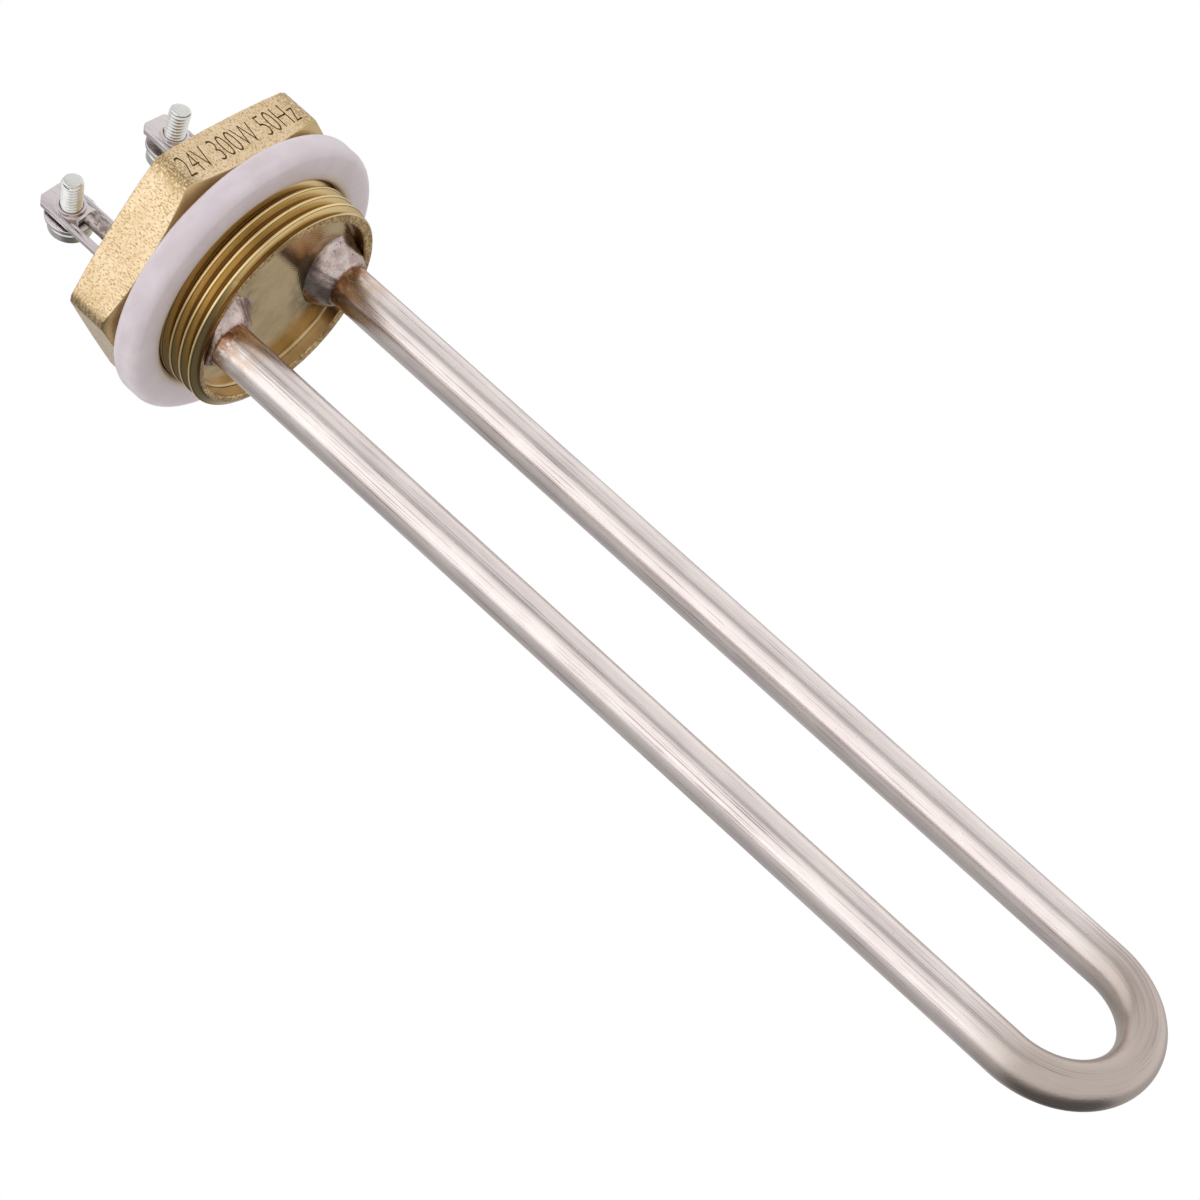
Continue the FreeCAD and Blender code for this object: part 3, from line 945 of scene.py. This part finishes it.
@dataclass
class Plug:
    """Brass plug: hexagonal head, threaded shank, cup, bores and a stamped rating, with its gasket.

    Attributes:
        flat_r: Distance of a flat from the axis, in mm.
        corner_r: Radius of the turned corners.
        flat_turn: Direction of the flat that carries the rating, in degrees.
        height: Height of the head.
        seat_r: Radius where the sealing face ends.
        seat_slope: Slope of the chamfer on the wet side, in degrees.
        back_r: Radius where the back face ends.
        back_slope: Slope of the chamfer at the back, in degrees.
        relief_r: Radius of the relief behind the thread.
        reach: Distance from the sealing face to the free end.
        fillet: Radius between the cup's wall and floor.
        rim_edge: Radius of the rim's inner edge.
        bore_r: Radius of the two bores.
        rating: Plain stamped numbers and units.
        rating_box: Reach of the stamp each way along the flat, and its low and high edge.
        stamp_depth: Depth of the stamp.
        gasket: Inner radius, outer radius and thickness of the gasket.
        gasket_setbacks: Rounding of its corners, from the hole at the head round to the rim there.
        thread: Thread of the shank.
    """

    flat_r: float = 25.2
    corner_r: float = 28.7
    flat_turn: float = -95.0
    height: float = 10.0
    seat_r: float = 23.3
    seat_slope: float = 18.0
    back_r: float = 24.6
    back_slope: float = 7.0
    relief_r: float = 19.2265
    reach: float = 12.9
    fillet: float = 0.6
    rim_edge: float = 0.3
    bore_r: float = 4.05
    rating: str = "24V 300W 50Hz"
    rating_box: tuple = (12.8, 2.8, 7.7)
    stamp_depth: float = 0.14
    gasket: tuple = (21.105, 27.705, 5.2)
    gasket_setbacks: tuple = (0.8, 1.0, 1.6, 1.2)
    thread: Thread = Thread(crest=20.955, root=19.4765, pitch=2.309, root_half=0.1924,
                            half_angle=27.5, datum=-11.51, start=-3.2, end=-12.15, soft=0.12)

    def columns(self) -> np.ndarray:
        """Give the angles of the grid's columns, even across each flat and each corner.

        Returns:
            Angles over one whole turn, first and last included.
        """
        turn = math.degrees(math.acos(self.flat_r / self.corner_r))
        flat = np.linspace(-turn, turn, 41)[:-1]
        corner = np.linspace(turn, 60 - turn, 7)[:-1]
        one = np.concatenate([flat, corner])
        angles = (self.flat_turn + one + 60 * np.arange(6)[:, None]).ravel()
        return np.radians(np.append(angles, angles[0] + 360))

    def head(self, theta: np.ndarray) -> np.ndarray:
        """Give the head's rows: back face, chamfer, flat or corner, chamfer, sealing face, relief.

        The outline's radius is flat_r over the cosine of the angle from the flat's middle, but at
        most corner_r. Both chamfers are cones, and their edges wander a little from wear.

        Args:
            theta: Angles of the columns.

        Returns:
            Array (rows, columns, 2) of radii and heights.
        """
        outline = self.outline(theta)
        rise = (outline - self.seat_r) * math.tan(math.radians(self.seat_slope))
        drop = (outline - self.back_r) * math.tan(math.radians(self.back_slope))
        corners = rings(theta, [
            (0, self.height),
            (12, self.height),
            (self.back_r - 0.05, self.height),
            (outline, self.height - drop + 0.04 * ripple(theta, 1)),
            (outline, self.height - drop - 0.5),
            (outline, rise + 0.6),
            (outline, rise + 0.09 * ripple(theta, 2)),
            (self.seat_r + 0.1 * ripple(theta, 3), 0),
            (self.relief_r + 1, 0),
            (self.relief_r, 0),
            (self.relief_r, self.thread.start),
        ])
        return soften(corners, [0, 0, 0.15, 0.16, 0, 0, 0.2, 0.2, 0, 0.1, 0], 4)

    def outline(self, theta: np.ndarray) -> np.ndarray:
        """Give the radius of the head at each angle."""
        turn = (theta - math.radians(self.flat_turn) + TAU / 12) % (TAU / 6) - TAU / 12
        return np.minimum(self.flat_r / np.cos(turn), self.corner_r)

    def cup(self, theta: np.ndarray) -> tuple[np.ndarray, np.ndarray]:
        """Give the rows of the rim, and of the cup down its wall and across its floor.

        Args:
            theta: Angles of the columns.

        Returns:
            Two arrays (rows, columns, 2) of radii and heights.
        """
        turn = np.linspace(0, TAU / 4, 5)
        edge, fillet = self.rim_edge, self.fillet
        rim = [(CUP_R + 2 * edge, -self.reach)]
        rim += [(CUP_R + edge - edge * math.sin(a), -self.reach + edge - edge * math.cos(a))
                for a in turn]
        corner = [(CUP_R - fillet + fillet * math.cos(a), CUP_FLOOR - fillet + fillet * math.sin(a))
                  for a in turn]
        floor = [(radius, CUP_FLOOR) for radius in (14.0, 9.0, 4.0, 0.0)]
        return rings(theta, rim), rings(theta, corner + floor)

    def bores(self) -> list[bpy.types.Object]:
        """Make the cutters of the two bores.

        Returns:
            One rod for each leg.
        """
        tools = []
        for side in SIDES:
            top, low = self.height + 2, CUP_FLOOR - 2
            rod = np.array([(0, top), (self.bore_r, top), (self.bore_r, low), (0, low)])
            tool = turned(f"bore_{side}", rod)
            tool.data.transform(Matrix.Translation((leg_x(side) * MM, 0, 0)))
            tools.append(tool)
        return tools

    def stamp(self) -> bpy.types.Object:
        """Make the cutter of the stamped rating, standing in its flat.

        The text's own box is stretched over the rating's box, and its depth over the stamp's.

        Returns:
            The cutter.
        """
        curve = bpy.data.curves.new("stamp", "FONT")
        curve.body = self.rating
        curve.offset = -0.018
        curve.extrude = 1.0
        text = bpy.data.objects.new("stamp", curve)
        bpy.context.scene.collection.objects.link(text)
        bpy.context.view_layer.update()
        shape = bpy.data.meshes.new_from_object(text)
        bpy.data.objects.remove(text)
        points = np.empty(len(shape.vertices) * 3)
        shape.vertices.foreach_get("co", points)
        points = points.reshape(-1, 3)
        low, high = points.min(axis=0), points.max(axis=0)
        share = (points - low) / (high - low)
        half, bottom, top = self.rating_box
        along = half * (2 * share[:, 0] - 1)
        upward = bottom + (top - bottom) * share[:, 1]
        outward = self.flat_r + np.where(share[:, 2] > 0.5, 1.0, -self.stamp_depth)
        turn = math.radians(self.flat_turn)
        place = np.stack([
            outward * math.cos(turn) - along * math.sin(turn),
            outward * math.sin(turn) + along * math.cos(turn),
            upward,
        ], axis=-1)
        shape.vertices.foreach_set("co", (place * MM).ravel())
        tool = bpy.data.objects.new("stamp", shape)
        bpy.context.scene.collection.objects.link(tool)
        tidy(tool)
        return tool

    def build(self, shop: dict[Finish, bpy.types.Material]) -> None:
        """Make the plug and the gasket.

        Args:
            shop: Material of each finish.
        """
        theta = self.columns()
        head = self.head(theta)
        rim, cup = self.cup(theta)
        thread = self.thread.rows(theta)
        lead = self.thread.lead(theta, -self.reach, 1.0)
        middle = (head[1:, 1:] + head[:-1, :-1]) / 2
        # faces whose middle lies on the outline belong to the flats and corners
        on_side = abs(middle[..., 0] - self.outline((theta[1:] + theta[:-1]) / 2)) < 0.04
        zones = [np.where(on_side, Zone.SIDE, Zone.FACE)]
        for rows, zone in (
            (thread, Zone.THREAD), (lead, Zone.THREAD), (rim, Zone.RIM), (cup, Zone.CUP),
        ):
            zones.append(np.full((len(rows), len(theta) - 1), zone))
        profile = np.concatenate([head, thread, lead, rim, cup])
        plug = surface("plug", round_axis(profile, theta), zones=np.concatenate(zones))
        dress(plug, [shop[finish] for finish in (FACE, FLAT, THREAD, RIM, CUP)])
        tools = self.bores()
        for tool in tools:
            dress(tool, [shop[FACE]])
        stamp = self.stamp()
        dress(stamp, [shop[MARK]])
        carve(plug, tools + [stamp])
        settle(plug, "brass_plug")

        inner, outer, thick = self.gasket
        ring = np.array([(inner, 0), (inner, -thick), (outer, -thick), (outer, 0)])
        gasket = turned("gasket", soften(ring, list(self.gasket_setbacks), 10), 240, True)
        dress(gasket, [shop[GASKET]])
        settle(gasket, "sealing_gasket")


@dataclass
class Element:
    """Sheathed heating element: one tube bent to a U, with its braze.

    Attributes:
        wall: Thickness of the tube, in mm.
        top: Height of the tube's two ends.
        bend: Height of the bend's centre.
        climb: Height of the braze on the tube.
        foot: Usual radius of a braze mound on the cup's floor.
        lobes: For each leg, the lobe's reach, direction in degrees and width in degrees.
        swell: Extra height of a lobe half-way out.
        lip: Height of the rolled edge, which is lost at the foot.
        lump: Height of the lumps.
    """

    wall: float = 0.7
    top: float = 11.5
    bend: float = -188.0
    climb: float = 3.8
    foot: float = 6.8
    lobes: tuple = ((2.4, 5.0, 42.0), (2.6, -112.0, 45.0))
    swell: float = 0.35
    lip: float = 0.16
    lump: float = 0.05

    def centre_line(self) -> tuple[np.ndarray, np.ndarray, np.ndarray]:
        """Give the tube's centre line, down one leg, round the bend and up the other.

        Returns:
            Points, outward directions in the plane of the bend, and lengths from the start.
        """
        leg = np.array([0, 0.15, 0.3, 1.5, 11.5, 21, 24, 60, 110, 160, self.top - self.bend])
        turn = np.linspace(math.pi, TAU, 61)
        down = np.stack([-LEG_X + 0 * leg, 0 * leg, self.top - leg], axis=-1)
        out = np.stack([np.cos(turn), 0 * turn, np.sin(turn)], axis=-1)
        arc = out * LEG_X + np.array([0, 0, self.bend])
        side = np.array([1.0, 0, 0])
        points = np.concatenate([down, arc[1:-1], (down * [-1, 1, 1])[::-1]])
        outward = np.concatenate([-side + 0 * down, out[1:-1], side + 0 * down])
        steps = np.linalg.norm(np.diff(points, axis=0), axis=-1)
        return points, outward, np.concatenate([[0], np.cumsum(steps)])

    def sheath(self, shop: dict[Finish, bpy.types.Material]) -> None:
        """Make the tube: its outside from end to end, and its inside back again.

        A point is the centre line plus the radius times (cos of the way round, outward) and
        (sin of the way round, along Y). Both ends are slightly rounded.

        Args:
            shop: Material of each finish.
        """
        line, outward, length = self.centre_line()
        around = np.linspace(0, TAU, 97)
        radius = np.full(len(line), SHEATH_R)
        radius[[0, -1]] -= 0.15
        radius[[1, -2]] -= 0.03
        line = np.concatenate([line, line[::-1]])
        outward = np.concatenate([outward, outward[::-1]])
        length = np.concatenate([length, length[::-1], length[:1]])
        radius = np.concatenate([radius, np.full(len(radius), SHEATH_R - self.wall)])
        cos, sin = np.cos(around)[:-1, None], np.sin(around)[:-1, None]
        spokes = outward[:, None] * cos + np.array([0, 1, 0]) * sin
        points = line[:, None] + radius[:, None, None] * spokes
        uv = np.stack(np.meshgrid(length, around * SHEATH_R, indexing="ij"), axis=-1)
        tube = surface("sheath", points, (True, True), uv=uv)
        dress(tube, [shop[SHEATH]])
        settle(tube, "sheath_tube")

    def braze(self, side: int, shop: dict[Finish, bpy.types.Material]) -> None:
        """Make the mound of braze round one leg.

        Its foot's radius is the usual one plus a bell-shaped lobe and a ripple. Its height over
        the floor falls from the climb at the tube to nothing at the foot as a power of a quarter
        wave of the cosine, which gives it a full shoulder, and the cup's wall cuts it off.

        Args:
            side: Number of the leg.
            shop: Material of each finish.
        """
        leg = leg_x(side)
        reach, way, width = self.lobes[side - 1]
        around = np.linspace(0, TAU, 144, endpoint=False)
        off = (around - math.radians(way) + math.pi) % TAU - math.pi
        bell = np.exp(-(off / math.radians(width)) ** 2)
        foot = self.foot + reach * bell + 0.12 * ripple(around, 5 + side)
        along = leg * np.cos(around)
        wall = -along + np.sqrt(along ** 2 - leg ** 2 + (CUP_R - 0.02) ** 2)
        limit = np.minimum(foot, wall)
        share = np.linspace(0, 1, 22)[:, None]
        distance = SHEATH_R + (limit - SHEATH_R) * share
        left = np.clip((foot - distance) / (foot - SHEATH_R), 0, 1)
        shoulder = np.cos(TAU / 4 * (1 - left)) ** (1.1 + 1.4 * bell)
        climb = self.climb * (1 + 0.03 * ripple(around, 2 + side)) * shoulder
        climb = climb + self.swell * bell * np.sin(math.pi * share) + self.lip * (1 - share ** 6)
        lumps = self.lump * ripple(2 * around + 5 * share, side) * np.sin(math.pi * share)
        height = np.maximum(climb + lumps, 0.02)
        foot_row = np.stack([limit, CUP_FLOOR + 0 * around], axis=-1)[None]
        tube_row = np.stack([SHEATH_R + 0 * around, CUP_FLOOR + 0 * around], axis=-1)[None]
        top = np.stack([distance, CUP_FLOOR - height], axis=-1)
        points = round_axis(np.concatenate([top, foot_row, tube_row]), around)
        mound = surface(f"braze_{side}", points + np.array([leg, 0, 0]), (True, True))
        dress(mound, [shop[BRAZE]])
        settle(mound, f"braze_fillet_{side}")

    def build(self, shop: dict[Finish, bpy.types.Material]) -> None:
        """Make the tube and both mounds of braze.

        Args:
            shop: Material of each finish.
        """
        self.sheath(shop)
        for side in SIDES:
            self.braze(side, shop)


@dataclass
class Terminal:
    """One terminal: pin, bush, tab, washers and screw.

    Attributes:
        side: Number of the terminal.
        turn: Direction in which the screw's tip points, in degrees.
        hole_z: Height of the screw's axis.
        gap: Space between tab and plain washer.
        pin_top: Height of the pin's end.
        shift: Sideways place of the tab on its pin.
        under: Distance of the tab's back from the pin's axis, against the tip's direction.
        screw_r: Radius of the screw's crests, just inside the solid's.
        screw_length: Length of the screw under its head.
        stack: Thickness of both washers.
        head_r: Radius of the screw's head.
        head_height: Height of the head.
        dome_r: Radius of the head's dome.
        neck_r: Radius of the screw between its head and its thread.
        tip_r: Radius of the screw's flat end.
        pin_r: Radius of the pin.
        dent: Depth of the dents in the pin's end.
        pin_low: Height of the pin's lower end, inside the sheath.
    """

    side: int
    turn: float
    hole_z: float
    gap: float
    pin_top: float
    shift: float = -0.656
    under: float = -1.5
    screw_r: float = 1.98
    screw_length: float = 10.0
    stack: float = 1.72
    head_r: float = 4.0
    head_height: float = 3.1
    dome_r: float = 6.5
    neck_r: float = 1.7
    tip_r: float = 1.25
    pin_r: float = 1.5
    dent: float = 0.12
    pin_low: float = -35.0

    def to_place(self, piece: bpy.types.Object) -> None:
        """Carry a mesh from the screw's own frame to its place.

        In that frame +Z is the way that the tip points, X runs across the tab and Y upwards.

        Args:
            piece: Piece in the screw's own frame.
        """
        turn = math.radians(self.turn)
        facing = Vector((math.cos(turn), math.sin(turn), 0))
        across = Vector((-math.sin(turn), math.cos(turn), 0))
        up = Vector((0, 0, 1))
        origin = Vector((leg_x(self.side), 0, self.hole_z))
        origin = origin + across * self.shift + facing * self.under
        frame = Matrix((across, up, facing)).transposed().to_4x4()
        piece.data.transform(Matrix.Translation(origin * MM) @ frame)

    def recess(self, top: float) -> bpy.types.Object:
        """Make the cutter of the cross recess: a plus-shaped prism that tapers to its floor.

        Args:
            top: Height of the head's top in the screw's own frame.

        Returns:
            The cutter.
        """
        span, width, depth = 2.2, 0.55, 1.7
        corner = np.array([(width, width), (width, span), (-width, span)])
        quarter = [corner @ np.array([[c, s], [-s, c]])
                   for c, s in ((1, 0), (0, 1), (-1, 0), (0, -1))]
        outline = np.concatenate(quarter)
        steps = [(0, -1), (1.0, -1), (1.0, 0), (0.62, depth), (0, depth)]
        points = np.stack([np.column_stack([outline * k, np.full(12, top + z)]) for k, z in steps])
        return surface(f"recess_{self.side}", points, (False, True))

    def screw(self, shop: dict[Finish, bpy.types.Material]) -> None:
        """Make the screw: domed head, cross recess, threaded shank and chamfered tip.

        Args:
            shop: Material of each finish.
        """
        seat = -self.gap - self.stack
        top, tip = seat - self.head_height, seat + self.screw_length
        thread = Thread(crest=self.screw_r, root=1.56, pitch=0.7, root_half=0.07, half_angle=30,
                        datum=0.1, start=seat + 0.9, end=tip - 0.5, soft=0.05)
        theta = np.linspace(0, TAU, 49)
        radii = np.linspace(0, self.head_r - 0.02, 9)
        dome = [(r, top + self.dome_r - math.sqrt(self.dome_r ** 2 - r ** 2)) for r in radii]
        side = [(self.head_r, seat - 1.45), (self.head_r, seat - 0.2), (self.head_r - 0.2, seat),
                (self.screw_r + 0.1, seat), (self.neck_r, seat + 0.15), (self.neck_r, seat + 0.85)]
        head = rings(theta, dome + side)
        end = rings(theta, [(self.tip_r, tip), (0, tip)])
        rows = thread.rows(theta)
        profile = np.concatenate([head, rows, thread.lead(theta, tip - 0.05, 1.1), end])
        # faces near the thread's roots get the dark groove material, which is painted shade
        middle = (profile[1:, 1:, 0] + profile[:-1, :-1, 0]) / 2
        shaded_groove = middle < 0.45 * thread.crest + 0.55 * thread.root
        shaded_groove[:len(head)] = False
        shaded_groove[len(head) + len(rows):] = False
        screw = surface(f"screw_{self.side}", round_axis(profile, theta), zones=shaded_groove)
        dress(screw, [shop[SCREW], shop[GROOVE_SHADE]])
        recess = self.recess(top)
        dress(recess, [shop[SCREW]])
        carve(screw, [recess])
        self.to_place(screw)
        settle(screw, f"terminal_screw_{self.side}", f"screw_{self.side}")

    def pin(self, shop: dict[Finish, bpy.types.Material]) -> None:
        """Make the pin, with the melted and dented end that its weld to the tab left.

        Args:
            shop: Material of each finish.
        """
        low, top, r = self.pin_low, self.pin_top, self.pin_r
        theta = np.linspace(0, TAU, 48, endpoint=False)
        heights = np.concatenate([[low, low, 10.0], np.linspace(13.0, top - 0.35, 24)])
        radii = np.concatenate([[0, r, r], np.full(24, r)])
        radii = radii[:, None] + 0 * theta
        worn = np.clip((heights - 14) / 4, 0, 1)[:, None]
        wave = ripple(2 * theta + heights[:, None], self.side)
        dents = np.minimum(wave - 0.1, 0) * self.dent * worn
        shank = np.stack([radii + dents, heights[:, None] + 0 * theta], axis=-1)
        end = [(r - 0.06, top - 0.22), (r - 0.2, top - 0.08), (r - 0.45, top - 0.02), (0, top)]
        cap = rings(theta, end)
        points = round_axis(np.concatenate([shank, cap]), theta)
        points = points + np.array([leg_x(self.side), 0, 0])
        pin = surface(f"pin_{self.side}", points, (False, True))
        dress(pin, [shop[PIN]])
        settle(pin, f"cold_pin_{self.side}")

    def copies(self, frame: dict, shop: dict[Finish, bpy.types.Material]) -> None:
        """Take the bush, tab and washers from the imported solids, with their edges broken.

        Args:
            frame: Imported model.
            shop: Material of each finish.
        """
        washers = f"washers_{self.side}"
        for node, slot, body, finish, edge in (
            ("end_bush", "bush", ROOT, BUSH, 0.12),
            ("terminal_tab", "tab", ROOT, TAB, 0.12),
            ("clamp_washer", "washer", washers, WASHER, 0.1),
            ("spring_washer", "washer", washers, WASHER, 0.1),
        ):
            name = f"{node}_{self.side}"
            solid = frame["nodes"][name].data.copy()
            piece = bpy.data.objects.new(f"{node}_eased_{self.side}", solid)
            bpy.context.scene.collection.objects.link(piece)
            tidy(piece)
            bevel = piece.modifiers.new("edge", "BEVEL")
            bevel.width = edge * MM
            bevel.segments = 3
            bevel.limit_method = "ANGLE"
            bevel.angle_limit = math.radians(40)
            bevel.harden_normals = False
            dress(piece, [shop[finish]])
            settle(piece, name, body)

    def build(self, frame: dict, shop: dict[Finish, bpy.types.Material]) -> None:
        """Make every piece of the terminal.

        Args:
            frame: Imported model.
            shop: Material of each finish.
        """
        self.screw(shop)
        self.pin(shop)
        self.copies(frame, shop)


@dataclass
class Studio:
    """Camera, light and floor.

    Attributes:
        eye: Place of the camera, in mm.
        right: Direction of the picture's right edge.
        down: Direction of the picture's lower edge.
        lens: Focal length in mm, on a sensor 36 mm wide.
        shift: Shift of the frame, as a share of its width.
        floor_z: Height of the floor, in mm.
        floor_half: Half the floor's width.
        lamp_way: Azimuth and rise of the lamp, in degrees.
        lamp_power: Power of the lamp, in W.
        lamp_size: Width of the lamp, in metres.
        even: Light that matt surfaces get from all round.
        surroundings: Brightness of the room by azimuth, as shares of a turn from -180 degrees.
        below: The same for the part of the room below the horizon.
        backdrop: Share of the white backdrop that metal mirrors, by azimuth.
    """

    eye: tuple = (-382.89, -398.25, -256.83)
    right: tuple = (0.63171, -0.3107, -0.71021)
    down: tuple = (-0.42181, 0.63089, -0.65119)
    lens: float = 106.1
    shift: tuple = (-0.01, 0.10)
    floor_z: float = -600.0
    floor_half: float = 2500.0
    lamp_way: tuple = (-150.0, 20.0)
    lamp_power: float = 0.6
    lamp_size: float = 1.0
    even: str = "F6F6F6"
    surroundings: tuple = (
        (0.0, 1.2), (0.04, 1.15), (0.07, 1.0), (0.194, 1.0), (0.215, 0.42), (0.24, 0.42),
        (0.27, 0.88), (0.38, 0.86), (0.431, 1.0), (0.50, 1.0), (0.533, 0.58), (0.667, 0.58),
        (0.81, 0.40), (0.865, 0.45), (0.917, 0.55), (0.965, 0.62), (0.985, 1.0), (1.0, 1.2),
    )
    below: tuple = (
        (0.0, 0.9), (0.40, 0.9), (0.47, 1.0), (0.52, 1.0), (0.56, 0.6), (0.655, 0.58), (0.69, 0.14),
        (0.90, 0.12), (0.96, 0.35), (1.0, 0.8),
    )
    backdrop: tuple = ((0.0, 0.0), (0.41, 0.0), (0.43, 1.0), (0.50, 1.0), (0.53, 0.0))

    def camera(self) -> None:
        """Set up the camera at the photograph's place."""
        data = bpy.data.cameras.new("camera")
        data.lens = self.lens
        data.sensor_width = 36.0
        data.shift_x, data.shift_y = self.shift
        data.clip_start = 0.01
        data.clip_end = 20.0
        right, up = Vector(self.right).normalized(), -Vector(self.down).normalized()
        frame = Matrix((right, up, right.cross(up))).transposed().to_4x4()
        bpy.context.scene.view_settings.view_transform = "Standard"
        camera = bpy.data.objects.new("camera", data)
        camera.matrix_world = Matrix.Translation(Vector(self.eye) * MM) @ frame
        bpy.context.scene.collection.objects.link(camera)
        bpy.context.scene.camera = camera

    def world(self) -> None:
        """Light the scene from all round, and show plain white behind the object."""
        world = bpy.data.worlds.new("studio")
        world.use_nodes = True
        tree = world.node_tree
        back = tree.nodes["Background"]
        way = add_node(tree, "ShaderNodeTexCoord").outputs["Generated"]
        parts = add_node(tree, "ShaderNodeSeparateXYZ", {0: way}).outputs
        turn = add_node(tree, "ShaderNodeMath", {0: parts[1], 1: parts[0]}, operation="ARCTAN2")
        share = level(tree, turn.outputs[0], (-math.pi, math.pi))
        high, low, behind = [
            add_node(tree, "ShaderNodeValToRGB", {0: share}, stops=list(stops)).outputs["Color"]
            for stops in (self.surroundings, self.below, self.backdrop)
        ]
        room = blend(tree, level(tree, parts[2], (0.05, -0.15)), high, low)
        light = add_node(tree, "ShaderNodeLightPath").outputs
        mirrored = product(tree, light["Is Glossy Ray"], behind)
        seen = light["Is Camera Ray"]
        for mask in (light["Is Transmission Ray"], mirrored):
            either = add_node(tree, "ShaderNodeMath", {0: seen, 1: mask}, operation="MAXIMUM")
            seen = either.outputs[0]
        # matt surfaces get an even light, so that the room's darker side only shows in metal
        even = blend(tree, light["Is Diffuse Ray"], room, self.even)
        tree.links.new(blend(tree, seen, even, "FFFFFF"), back.inputs["Color"])
        bpy.context.scene.world = world

    def lamp(self) -> None:
        """Hang one large soft lamp in front of the head."""
        data = bpy.data.lights.new("softbox", "AREA")
        data.energy = self.lamp_power
        data.size = self.lamp_size
        lamp = bpy.data.objects.new("softbox", data)
        turn, rise = [math.radians(angle) for angle in self.lamp_way]
        way = Vector((math.cos(turn), math.sin(turn), math.tan(rise)))
        lamp.location = way
        lamp.rotation_euler = way.to_track_quat("Z", "Y").to_euler()
        bpy.context.scene.collection.objects.link(lamp)

    def floor(self) -> None:
        """Lay a plain pale floor."""
        span = np.linspace(-self.floor_half, self.floor_half, 9)
        x, y = np.meshgrid(span, span, indexing="ij")
        floor = surface("floor", np.stack([x, y, self.floor_z + 0 * x], axis=-1))
        dress(floor, [BOARD.build()])
        # the wet end is seen from below, where metal mirrors the room and not the board
        floor.visible_glossy = False

    def build(self) -> None:
        """Set up camera, world, lamp and floor."""
        self.camera()
        self.world()
        self.lamp()
        self.floor()


def main() -> None:
    """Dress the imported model, piece by piece."""
    logging.basicConfig(level=logging.INFO, format="%(message)s")
    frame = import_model()
    finishes = (FLAT, FACE, THREAD, RIM, CUP, MARK, GASKET, SHEATH, BRAZE, PIN, TAB, SCREW,
                GROOVE_SHADE, WASHER, BUSH, SEAL, POWDER, WIRE)
    shop = {finish: finish.build() for finish in finishes}
    Plug().build(shop)
    Element().build(shop)
    for terminal in (
        Terminal(side=1, turn=-103.0, hole_z=24.7, gap=0.5, pin_top=20.8),
        Terminal(side=2, turn=-92.0, hole_z=29.3, gap=1.0, pin_top=25.4),
    ):
        terminal.build(frame, shop)
    hidden = {"magnesia_fill": POWDER, "heating_coil": WIRE, "end_seal_1": SEAL, "end_seal_2": SEAL}
    for node, finish in hidden.items():
        for slot in frame["nodes"][node].material_slots:
            slot.material = shop[finish]
    Studio().build()


if __name__ == "__main__":
    main()
